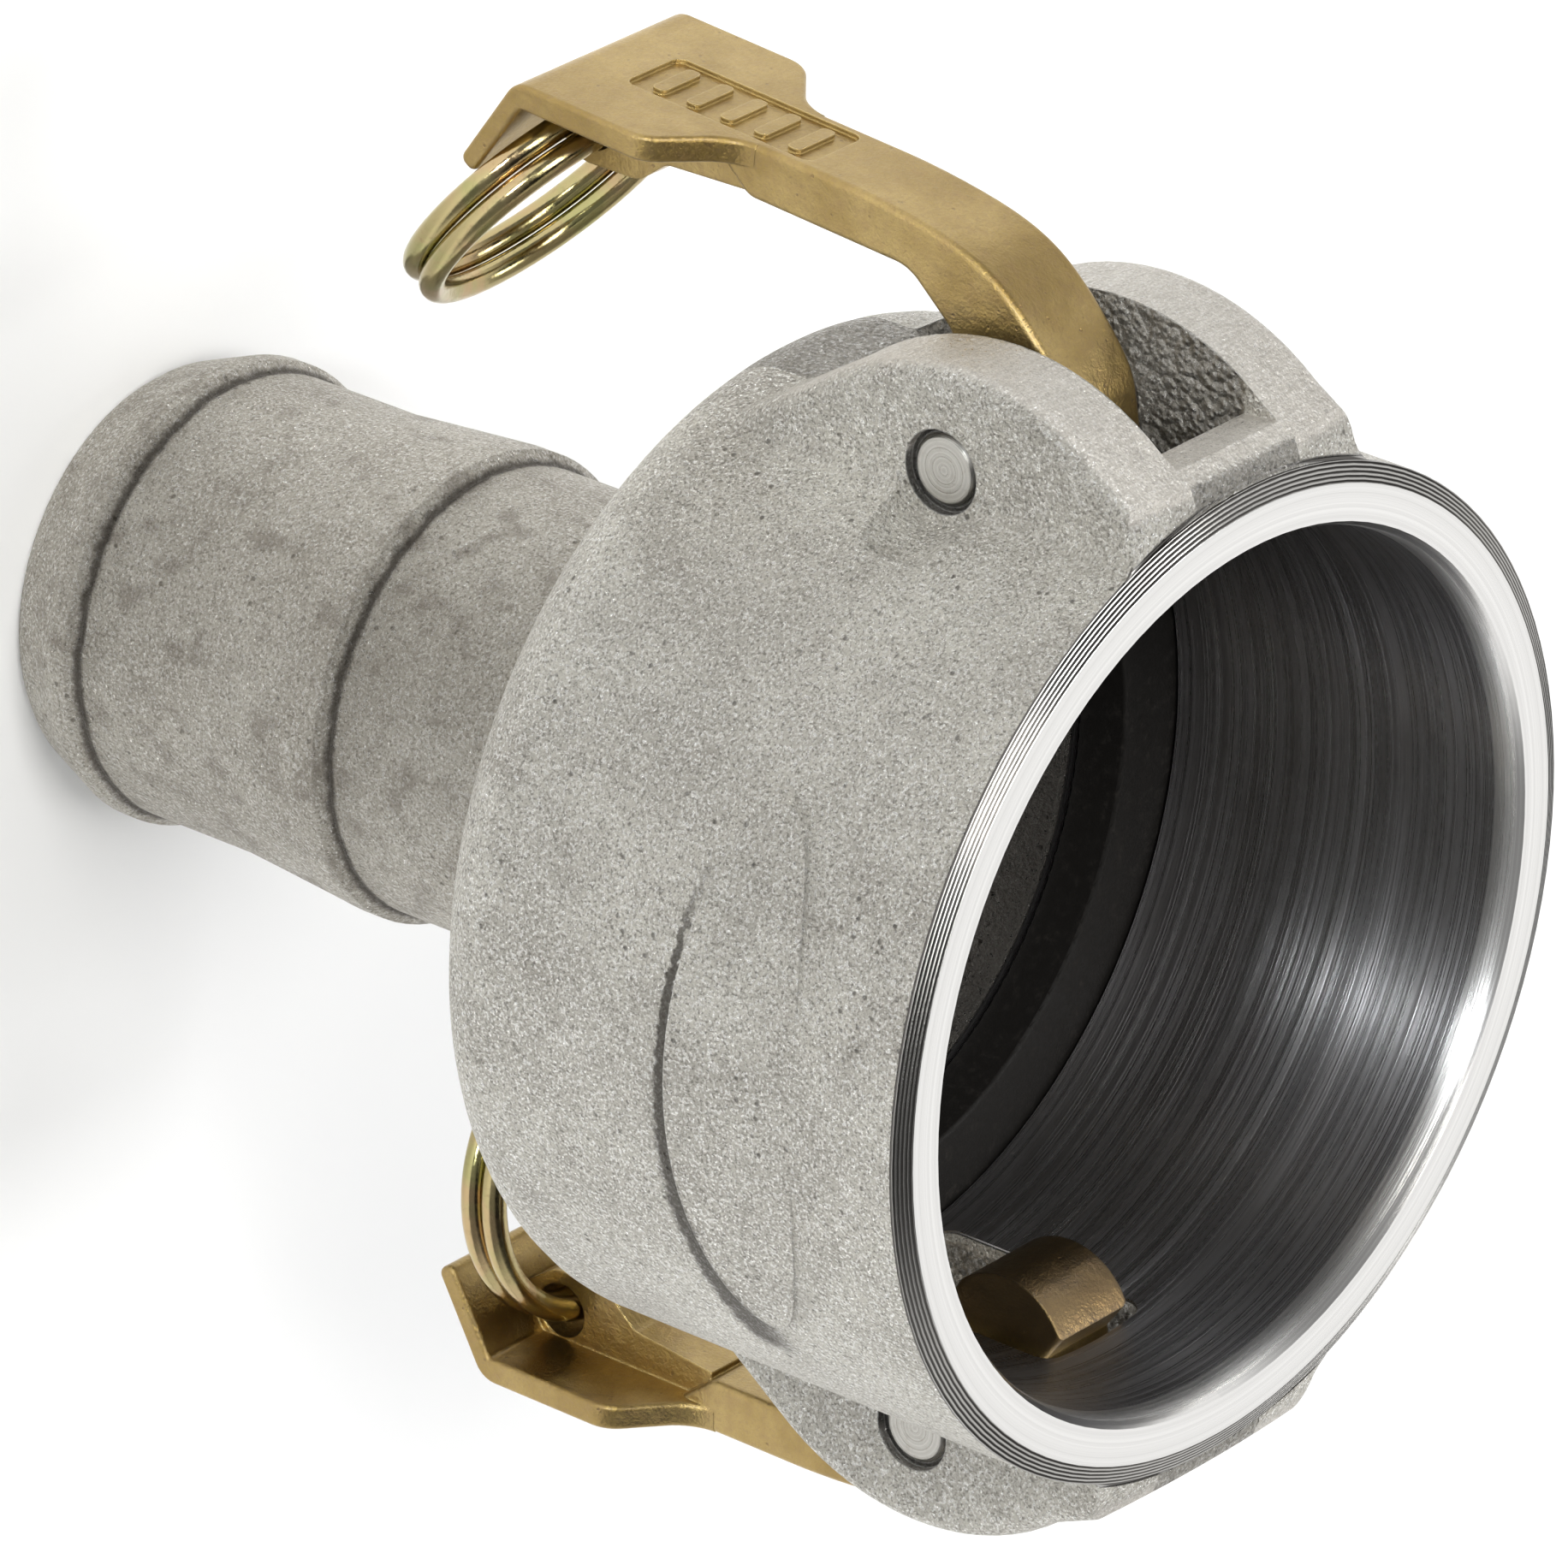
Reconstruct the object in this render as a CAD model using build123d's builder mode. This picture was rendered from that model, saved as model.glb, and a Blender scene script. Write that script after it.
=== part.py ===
"""Camlock coupling: reducing socket with two cam levers and a barbed hose shank.

Millimetres. +Z runs along the flow axis from the hose end (Z = 0) to the socket mouth.
The levers swing in the XZ plane, one on each side of the socket.
"""
from build123d import *
from math import cos, radians, sin, sqrt
import os

os.makedirs("parts", exist_ok=True)

# ---- driving dimensions -------------------------------------------------------------------

total_height = 142.5        # hose end to mouth face

# socket bell
socket_radius = 46.1        # machined bore that takes a nominal 3 inch adapter
lip_radius = 47.0           # rounded entry of the bore
lip_depth = 3.0
face_radius = 50.85         # flat ring of the mouth face
bell_radius = 53.0
chamfer_slope = 0.4         # depth gained per millimetre of radius on the turned chamfer
bell_depth = 62.0           # mouth face to the back of the bell
shoulder_radius = 9.0
groove_count = 5            # fine turned grooves on the outer chamfer
groove_cut = 0.16

# gasket and its groove
groove_top = 43.8           # depth of the gasket groove's upper edge
groove_bottom = 50.5
groove_radius = 47.6
seat_radius = 36.2
gasket_outer = 47.3
gasket_inner = 38.1
gasket_thickness = 6.2

# throat and hose shank
throat_depth = 74.0         # depth where the funnel has narrowed to the shank bore
shank_bore = 19.8
neck_radius = 24.2
neck_depth = 76.0
# each barb: depth of its foot, crest radius, and where the crest starts and ends past the foot
barbs = ((97.9, 25.5, 1.4, 4.0), (132.1, 25.3, 1.2, 3.0))
barb_taper = 20.0           # length over which the first barb falls back to the neck
shank_end_radius = 22.9

# ears and pivot pins
ear_outer = 17.5            # half width over a pair of ears
slot_half = 8.0             # half width of the slot between them
ear_arc_centre = (34.8, 23.7)
ear_arc_radius = 29.0
ear_half_chord = 18.0       # the crown's arc reaches this far either side of its middle
ear_back = (46.8, 58.2)     # where the ear's rear slope meets the bell's shoulder
ear_shift = {"left": 0.0, "right": 2.0}     # the two crowns are not cast quite alike
ear_root = 44.0
web_edge = (56.0, 8.1)      # outer edge of the web that closes the slot towards the mouth
crown_rounding = 2.0
root_rounding = 3.0
pocket_radius = 17.9        # swept clearance of the lever's heel
ledge_height = 4.2          # level of the pocket floor, inward of the pin axis
window = (16.0, 42.0)       # depths where the slot opens into the bore
window_rounding = 2.0
window_reach = 16.0         # from the pin axis inward, enough to break into the bore
pin_x = 52.85
pin_depth = 25.5
pin_radius = 3.85
pin_half_length = 17.0
pin_clearance = 0.03
recess_radius = 4.4
recess_depth = 1.0
spot_radius = 5.5           # dished spot face that trims the bell beside each pin
spot_reach = 8.0
spot_flare = 2.0            # how much wider it is at its outer end

# raised blank pad on the front of the bell
pad_half_length = 28.5
pad_depths = (13.5, 28.5)
pad_rise = (-0.1, 1.5)      # height of its face over the bell at its mouth side and shank side
pad_root = 38.0             # where it starts, inside the wall

# cam levers, in lever coordinates: (out from the pin, along towards the hose end)
lever_half = 5.4            # half thickness of head and stem
face_start = (20.1, 24.0)   # the straight outer face runs from here ...
face_bend = (22.76, 59.2)   # ... to the bend of the lip
lip_end = (12.5, 66.2)
stem_end = 35.0             # where the full-width stem starts to run out under the finger plate
stem_slant = 7.0            # length over which it runs out
plate_half = 12.75          # half width of the finger plate
plate_start = 34.0          # where the plate grows out of the stem
plate_thickness = 2.8
lip_thickness = 2.2
rim_rounding = 0.5
rib_half = 4.0
lever_easing = 0.7
panel_ends = (28.0, 52.0)   # sunk grip panel on the outer face
panel_width = 8.4
panel_sink = 0.5
grip_bars = 5
grip_bar_length = 6.0
grip_bar_width = 1.7
lever_hole_clearance = 0.08
ring_hole = (16.6, 56.2)
ring_hole_radius = 3.05
lever_swing = {"left": 0.0, "right": 4.6}   # how much further in each lever lies

# finger rings
ring_radius = 14.83         # to the middle of the wire
wire_radius = 1.33
turn_pitch = 2.76
crossover_angle = 48.0      # middle of the crossover, from the rib hole
crossover_half = 14.0
ring_lean = {"left": 50.5, "right": 84.0}   # from straight down, towards the axis

# cutters
outside = 70.0              # radius or distance beyond everything
overrun = 1.0               # how far a cutter runs past a face

pin_z = total_height - pin_depth
sides = {"left": -1, "right": 1}


def height(depth):
    """Height above the hose end of a point at this depth below the mouth face."""
    return total_height - depth


# ---- body casting -------------------------------------------------------------------------

def chamfer_profile():
    """What turning the mouth's outer chamfer removes, with its fine grooves."""
    band = bell_radius - face_radius
    points = [(face_radius, height(0))]
    for index in range(groove_count):
        for offset, cut in ((0.15, 0.0), (0.5, groove_cut), (0.85, 0.0)):
            run = band * (index + offset) / groove_count
            points.append((face_radius + run, height(chamfer_slope * run + cut)))
    with BuildLine() as outline:
        Polyline(
            *points,
            (outside, height(chamfer_slope * (outside - face_radius))),
            (outside, height(-overrun)),
            (face_radius, height(-overrun)),
            close=True,
        )
    return outline


def barb_points(foot, crest_radius, crest_start, crest_end):
    """Foot of a barb and the two ends of its crest."""
    return [
        (neck_radius, height(foot)),
        (crest_radius, height(foot + crest_start)),
        (crest_radius, height(foot + crest_end)),
    ]


def outer_profile():
    """Outside of the casting, as one closed half section."""
    shoulder_z = height(bell_depth - shoulder_radius)
    shoulder_r = bell_radius - shoulder_radius
    slant = shoulder_radius * cos(radians(45))
    with BuildLine() as outline:
        Polyline(
            (0, height(0)),
            (bell_radius, height(0)),
            (bell_radius, shoulder_z),
        )
        ThreePointArc(
            (bell_radius, shoulder_z),
            (shoulder_r + slant, shoulder_z - slant),
            (shoulder_r, height(bell_depth)),
        )
        Spline(
            (shoulder_r, height(bell_depth)),
            (neck_radius + 5.0, height(neck_depth - 8.5)),
            (neck_radius, height(neck_depth + 5.0)),
            tangents=((-1, 0), (0, -1)),
        )
        first, second = barbs
        Polyline(
            (neck_radius, height(neck_depth + 5.0)),
            *barb_points(*first),
            (neck_radius, height(first[0] + barb_taper)),
            *barb_points(*second),
            (shank_end_radius, 1.2),
            (shank_end_radius - 0.9, 0),
            (0, 0),
            (0, height(0)),
        )
    return outline


def ear_profile(name):
    """Side view of one pair of ears, from the mouth ring round the crown to the shoulder."""
    side = sides[name]
    centre_x, centre_depth = ear_arc_centre
    centre_depth += ear_shift[name]
    foot_x = centre_x + sqrt(ear_arc_radius**2 - ear_half_chord**2)
    front = (side * foot_x, height(centre_depth - ear_half_chord))
    rear = (side * foot_x, height(centre_depth + ear_half_chord))
    back_x, back_depth = ear_back
    with BuildLine() as outline:
        Polyline(
            (side * ear_root, height(0.3)),
            (side * (foot_x - 2.6), height(1.5)),
            front,
        )
        ThreePointArc(front, (side * (centre_x + ear_arc_radius), height(centre_depth)), rear)
        Polyline(
            rear,
            (side * back_x, height(back_depth)),
            (side * ear_root, height(back_depth)),
            (side * ear_root, height(0.3)),
        )
    return outline


def bore_profile():
    """Everything machined or cored out of the inside, as one closed half section."""
    with BuildLine() as outline:
        Line((0, height(-overrun)), (lip_radius + 0.4, height(-overrun)))
        Line((lip_radius + 0.4, height(-overrun)), (lip_radius, height(0)))
        ThreePointArc(
            (lip_radius, height(0)),
            (lip_radius - 0.65, height(1.1)),
            (socket_radius, height(lip_depth)),
        )
        Polyline(
            (socket_radius, height(lip_depth)),
            (socket_radius, height(groove_top)),
            (groove_radius, height(groove_top)),
            (groove_radius, height(groove_bottom)),
            (seat_radius, height(groove_bottom)),
            (seat_radius - 1.2, height(groove_bottom + 1.2)),
            (shank_bore + 2.6, height(throat_depth - 5.5)),
            (shank_bore, height(throat_depth)),
            (shank_bore, 0.6),
            (shank_bore + 0.6, 0),
            (0, 0),
            (0, height(-overrun)),
        )
    return outline


def slot_profile():
    """Side view of the gap between one pair of ears, down to the outside of the bell."""
    floor_x = pin_x - ledge_height
    skim_x = bell_radius - 0.4
    web_x, web_y = web_edge
    pocket_top = (floor_x, height(9.2))
    with BuildLine() as outline:
        Polyline(
            (skim_x, height(bell_depth)),
            (outside, height(bell_depth)),
            (outside, height(-overrun)),
            (web_x + 0.9, height(-overrun)),
            (web_x, height(web_y)),
        )
        ThreePointArc((web_x, height(web_y)), (pin_x, height(pin_depth - pocket_radius)), pocket_top)
        Polyline(
            pocket_top,
            (floor_x, height(window[1] + 3.0)),
            (skim_x, height(window[1] + 5.0)),
            (skim_x, height(bell_depth)),
        )
    return outline


def ear_pair(name):
    """Block for one pair of ears, before the slot is cut, with rounded outer edges."""
    with BuildPart() as ears:
        with BuildSketch(Plane.XZ):
            add(ear_profile(name).line)
            make_face()
        extrude(amount=ear_outer, both=True)
        side_faces = ears.faces().filter_by(Axis.Y)
        crown_edges = side_faces.edges().filter_by(lambda edge: abs(edge.center().X) > 51.0)
        fillet(crown_edges, crown_rounding)
    return ears.part


def raised_pad():
    """Blank oval pad on the front of the bell, which fades out towards the mouth."""
    middle = height(sum(pad_depths) / 2)
    width = pad_depths[1] - pad_depths[0]
    mouth_radius = bell_radius + pad_rise[0]
    shank_radius = bell_radius + pad_rise[1]
    with BuildPart() as pad:
        with BuildSketch(Plane.XZ.offset(pad_root)):
            with Locations((0, middle)):
                Ellipse(pad_half_length, width / 2)
        extrude(amount=shank_radius + overrun - pad_root)
        with Locations((0, 0, middle)):
            Cone(shank_radius, mouth_radius, width + 2 * overrun, mode=Mode.INTERSECT)
    return pad.part


with BuildPart() as body:
    with BuildSketch(Plane.XZ):
        add(outer_profile().line)
        make_face()
    revolve(axis=Axis.Z)

    add([ear_pair(name) for name in sides])

    # soft roots where the flat ear sides leave the bell
    ear_faces = body.faces().filter_by(Axis.Y).filter_by(GeomType.PLANE)
    root_edges = ear_faces.edges().filter_by(GeomType.LINE).filter_by(Axis.Z)
    fillet(root_edges, root_rounding)

    add(raised_pad())

    # turned chamfer round the mouth, which also trims the ears
    with BuildSketch(Plane.XZ):
        add(chamfer_profile().line)
        make_face()
    revolve(axis=Axis.Z, mode=Mode.SUBTRACT)

    # slots between the ears, and their windows into the bore
    for side in sides.values():
        slot_plane = Plane(origin=(0, 0, 0), x_dir=(side, 0, 0), z_dir=(0, -side, 0))
        with BuildSketch(slot_plane):
            add(slot_profile().line)
            make_face()
        extrude(amount=slot_half, both=True, mode=Mode.SUBTRACT)
        window_height = window[1] - window[0]
        with BuildSketch(Plane.YZ.offset(side * pin_x)):
            with Locations((0, height(sum(window) / 2))):
                RectangleRounded(2 * slot_half, window_height, window_rounding)
        extrude(amount=-side * window_reach, mode=Mode.SUBTRACT)

    # bore, gasket groove, throat and hose bore
    with BuildSketch(Plane.XZ):
        add(bore_profile().line)
        make_face()
    revolve(axis=Axis.Z, mode=Mode.SUBTRACT)

    # pin holes, with a recess and a spot face at each ear side
    for side in sides.values():
        with BuildSketch(Plane.XZ):
            with Locations((side * pin_x, pin_z)):
                Circle(pin_radius + pin_clearance)
        extrude(amount=ear_outer + overrun, both=True, mode=Mode.SUBTRACT)
        for outward in (-1, 1):
            with BuildSketch(Plane.XZ.offset(outward * ear_outer)):
                with Locations((side * pin_x, pin_z)):
                    Circle(recess_radius)
            extrude(amount=recess_depth, both=True, mode=Mode.SUBTRACT)
            with Locations((side * pin_x, -outward * ear_outer, pin_z)):
                Cone(
                    spot_radius,
                    spot_radius + spot_flare,
                    spot_reach,
                    rotation=(90 * outward, 0, 0),
                    align=(Align.CENTER, Align.CENTER, Align.MIN),
                    mode=Mode.SUBTRACT,
                )
body.part.label = "body"
export_step(body.part, "parts/body.step")


# ---- gasket and pivot pins ----------------------------------------------------------------

with BuildPart() as gasket:
    with BuildSketch(Plane.XY.offset(height(groove_bottom))):
        Circle(gasket_outer)
        Circle(gasket_inner, mode=Mode.SUBTRACT)
    extrude(amount=gasket_thickness)
    fillet(gasket.edges(), 0.4)
gasket.part.label = "gasket"
export_step(gasket.part, "parts/gasket.step")

for name, side in sides.items():
    with BuildPart() as pin:
        with BuildSketch(Plane.XZ):
            with Locations((side * pin_x, pin_z)):
                Circle(pin_radius)
        extrude(amount=pin_half_length, both=True)
        ends = pin.edges().filter_by(GeomType.CIRCLE)
        chamfer(ends, 0.5)
    pin.part.label = f"pivot_pin_{name}"
    export_step(pin.part, f"parts/pivot_pin_{name}.step")


# ---- cam levers ---------------------------------------------------------------------------

def lever_plane(name):
    """Plane of the lever's side view: x out from the pin, y along towards the hose end."""
    side = sides[name]
    swing = radians(lever_swing[name])
    outward = (side * cos(swing), 0, -sin(swing))
    return Plane(origin=(side * pin_x, 0, pin_z), x_dir=outward, z_dir=(0, side, 0))


def head_profile():
    """Side view of the cam head and stem."""
    face_x, face_y = face_start
    with BuildLine() as outline:
        Line(face_point(stem_end + stem_slant), face_start)
        Spline(
            face_start,
            (18.8, 14.0),
            (15.6, 4.2),
            (10.6, -1.6),
            (6.2, -5.1),
            (2.6, -6.4),
            tangents=((-0.07, -1), (-1, -0.17)),
        )
        Polyline((2.6, -6.4), (-2.8, -7.35), (-6.2, -6.6), (-9.2, -8.4))
        ThreePointArc((-9.2, -8.4), (-13.4, -1.8), (-10.0, 5.2))
        FilletPolyline(
            (-10.0, 5.2),
            (-2.0, 9.0),
            (8.0, 8.6),
            (13.4, 14.6),
            (15.0, stem_end),
            face_point(stem_end + stem_slant),
            radius=(3.0, 3.0, 5.0, 2.5),
        )
    return outline


def face_point(along, depth=0.0):
    """Point of the straight outer face, or at this depth below it."""
    run = Vector(*face_bend) - Vector(*face_start)
    share = (along - face_start[1]) / run.Y
    inward = Vector(-run.Y, run.X).normalized()
    return Vector(*face_start) + run * share + inward * depth


def panel_plane(name):
    """Plane of a lever's outer face at the middle of its panel: x runs along the lever."""
    side_view = lever_plane(name)
    run = (Vector(*face_bend) - Vector(*face_start)).normalized()
    return Plane(
        origin=side_view.from_local_coords(face_point(sum(panel_ends) / 2)),
        x_dir=side_view.x_dir * run.X + side_view.y_dir * run.Y,
        z_dir=side_view.x_dir * run.Y - side_view.y_dir * run.X,
    )


def plate_section():
    """Closed side view of the finger plate with its turned-down lip."""
    bend = Vector(*face_bend)
    end = Vector(*lip_end)
    fall = (end - bend).normalized()
    inner_end = end + Vector(-fall.Y, fall.X) * lip_thickness
    under_start = face_point(plate_start, plate_thickness)
    under = (face_point(face_bend[1], plate_thickness) - under_start).normalized()
    # the underside of the plate and the inside of the lip meet at the inner bend
    gap = inner_end - under_start
    along = (gap.X * fall.Y - gap.Y * fall.X) / (under.X * fall.Y - under.Y * fall.X)
    inner_bend = under_start + under * along
    return FilletPolyline(
        face_point(plate_start),
        bend,
        end,
        inner_end,
        inner_bend,
        under_start,
        radius=(0.0, 3.0, 0.9, 0.9, 0.8, 0.0),
        close=True,
    )


def finger_plate(name):
    """Wide end of a lever: plate, turned-down lip and necked outline."""
    side_view = lever_plane(name)
    top_view = Plane(origin=side_view.origin, x_dir=side_view.y_dir, z_dir=side_view.x_dir)
    with BuildPart() as plate:
        with BuildSketch(side_view):
            with BuildLine():
                plate_section()
            make_face()
        extrude(amount=plate_half, both=True)
        with BuildSketch(top_view):
            with BuildLine():
                FilletPolyline(
                    (30.0, lever_half),
                    (36.5, lever_half),
                    (42.5, plate_half),
                    (70.0, plate_half),
                    (70.0, -plate_half),
                    (42.5, -plate_half),
                    (36.5, -lever_half),
                    (30.0, -lever_half),
                    radius=(0.0, 6.5, 4.0, 0.0, 0.0, 4.0, 6.5, 0.0),
                    close=True,
                )
            make_face()
        extrude(amount=30.0, mode=Mode.INTERSECT)
        rims = plate.edges().filter_by(
            lambda edge: side_view.to_local_coords(edge.center()).Y > plate_start + 1.0
        )
        fillet(rims, rim_rounding)
    return plate.part


def cam_arm(name):
    """One lever, in place on its pin."""
    side_view = lever_plane(name)
    with BuildPart() as arm:
        with BuildSketch(side_view):
            add(head_profile().line)
            make_face()
        extrude(amount=lever_half, both=True)
        # every edge is eased except the working edge of the cam lobe
        side_edges = arm.faces().filter_by(Axis.Y).edges()
        lobe_edges = side_edges.filter_by(GeomType.CIRCLE).sort_by(SortBy.LENGTH)[-2:]
        fillet(side_edges - lobe_edges, lever_easing)
        add(finger_plate(name))

        # rib under the plate, which carries the ring's cross hole
        with BuildSketch(side_view):
            with BuildLine():
                FilletPolyline(
                    (20.5, 36.0),
                    (15.0, 36.0),
                    (14.7, 46.5),
                    (12.0, 50.0),
                    (12.0, 57.5),
                    (15.0, 61.0),
                    (20.5, 59.5),
                    radius=(0.0, 0.0, 2.0, 2.0, 3.0, 0.0, 0.0),
                    close=True,
                )
            make_face()
        extrude(amount=rib_half, both=True)

        # sunk panel with plain grip bars left standing in it
        with BuildSketch(panel_plane(name)):
            panel_length = panel_ends[1] - panel_ends[0]
            RectangleRounded(panel_length, panel_width, 1.2)
            with GridLocations(panel_length / (grip_bars + 0.5), 0, grip_bars, 1):
                RectangleRounded(grip_bar_width, grip_bar_length, 0.6, mode=Mode.SUBTRACT)
        extrude(amount=-panel_sink, mode=Mode.SUBTRACT)

        with BuildSketch(side_view):
            Circle(pin_radius + lever_hole_clearance)
            with Locations(ring_hole):
                Circle(ring_hole_radius)
        extrude(amount=2 * plate_half, both=True, mode=Mode.SUBTRACT)
    arm.part.label = f"cam_arm_{name}"
    return arm.part


for name in sides:
    export_step(cam_arm(name), f"parts/cam_arm_{name}.step")


# ---- finger rings -------------------------------------------------------------------------

def ring_plane(name):
    """Middle plane of a ring: x towards the rib hole, y along the hole's axis."""
    side = sides[name]
    lean = radians(ring_lean[name])
    to_hole = Vector(side * sin(lean), 0, cos(lean))
    hole = lever_plane(name).from_local_coords(Vector(*ring_hole, 0))
    return Plane(
        origin=hole - to_hole * ring_radius,
        x_dir=to_hole,
        z_dir=(-cos(lean), 0, side * sin(lean)),
    )


def finger_ring(name):
    """Split ring: two flat turns of wire joined by a short crossover."""
    middle = ring_plane(name)
    turn = 360.0 - 2 * crossover_half
    start = crossover_angle + crossover_half
    lower_plane = middle.offset(-turn_pitch / 2)
    upper_plane = middle.offset(turn_pitch / 2)
    with BuildLine(lower_plane) as lower:
        CenterArc((0, 0), ring_radius, start, turn)
    with BuildLine(upper_plane) as upper:
        CenterArc((0, 0), ring_radius, start, turn)
    bulge = middle.from_local_coords(
        Vector(ring_radius, 0, 0).rotate(Axis.Z, crossover_angle)
    )
    with BuildLine() as path:
        add(lower.line)
        Spline(
            lower.line @ 1,
            bulge,
            upper.line @ 0,
            tangents=(lower.line % 1, upper.line % 0),
        )
        add(upper.line)
    with BuildPart() as ring:
        with BuildSketch(Plane(origin=path.line @ 0, z_dir=path.line % 0)):
            Circle(wire_radius)
        sweep(path=path.line)
    ring.part.label = f"finger_ring_{name}"
    return ring.part


for name in sides:
    export_step(finger_ring(name), f"parts/finger_ring_{name}.step")
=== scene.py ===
"""Studio scene of the camlock coupling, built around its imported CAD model.

Every material is procedural. Positions inside the materials are millimetres in the part's own
frame: Z runs along the flow axis from the hose end (Z = 0) to the socket mouth, and one lever
hangs on the +X side and one on the -X side. Noise scales are per millimetre.
"""

from math import tau

import bpy
from mathutils import Matrix, Vector


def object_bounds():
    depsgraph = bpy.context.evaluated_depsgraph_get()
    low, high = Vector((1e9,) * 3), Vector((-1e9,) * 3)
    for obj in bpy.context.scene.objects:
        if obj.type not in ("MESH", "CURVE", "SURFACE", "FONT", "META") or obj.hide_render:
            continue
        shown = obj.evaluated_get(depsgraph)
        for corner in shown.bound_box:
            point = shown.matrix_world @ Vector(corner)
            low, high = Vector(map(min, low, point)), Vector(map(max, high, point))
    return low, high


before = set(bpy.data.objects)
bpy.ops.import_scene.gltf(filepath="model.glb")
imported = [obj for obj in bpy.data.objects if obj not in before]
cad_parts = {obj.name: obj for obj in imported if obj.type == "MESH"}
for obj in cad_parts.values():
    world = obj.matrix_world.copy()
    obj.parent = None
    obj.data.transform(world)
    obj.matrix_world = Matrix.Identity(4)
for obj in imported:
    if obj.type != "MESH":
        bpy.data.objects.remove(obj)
cad_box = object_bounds()

# ---- dimensions of the part that the materials follow, in millimetres -------------------------

MM = 0.001

# socket
MOUTH_Z = 142.5
FACE_RADIUS = 50.85          # outer edge of the flat mouth ring
BELL_RADIUS = 53.0
BELL_BACK_Z = 80.5
CHAMFER_SLOPE = 0.4
LIP_Z = 139.3                # where the rounded lip meets the straight bore
BORE_RADIUS = 46.1
GROOVE_TOP_Z = 98.7          # upper edge of the gasket groove
GROOVE_RADIUS = 47.6
SEAT_RADIUS = 37.2           # the gasket's seat is machined outside this radius
SEAT_FOOT_Z = 90.9           # foot of the seat's inner chamfer
FUNNEL_SLOPE = 0.75          # radius gained per millimetre up the funnel
FUNNEL_TIP = -33.1           # radius the funnel's cone would have at the hose end

# hose shank
SHANK_Z = 64.0
NECK_RADIUS = 24.2
HOSE_BORE_RADIUS = 19.8
BARB_FEET_Z = (44.6, 10.4)

# ears, pins and pad
SLOT_HALF = 8.0              # half width of a lever slot
WEB_X = 56.0                 # outer edge of the web that closes the slot towards the mouth
WEB_Z = 134.4
PIN_X = 52.85
PIN_Z = 117.0
RECESS_RADIUS = 4.4          # recess round each pin end
PAD_Y = -41.0                # the pad stands on the bell's front, at smaller y than this
PAD_Z = 121.5
PAD_HALF_LENGTH = 28.5
PAD_HALF_WIDTH = 7.5

# textures
BUMP_DEPTH = 0.9             # height of the casting's bump texture where it reads 1
CHAMFER_LINE_PITCH = 0.43    # spacing of the fine turned lines
FEED_MARK_SCALE = 40.0       # feed marks of the bore, per millimetre
FEED_MARK_TILT = 2.3         # how far they tilt the bore's surface along the axis


# ---- shader graph helper -----------------------------------------------------------------------

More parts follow.
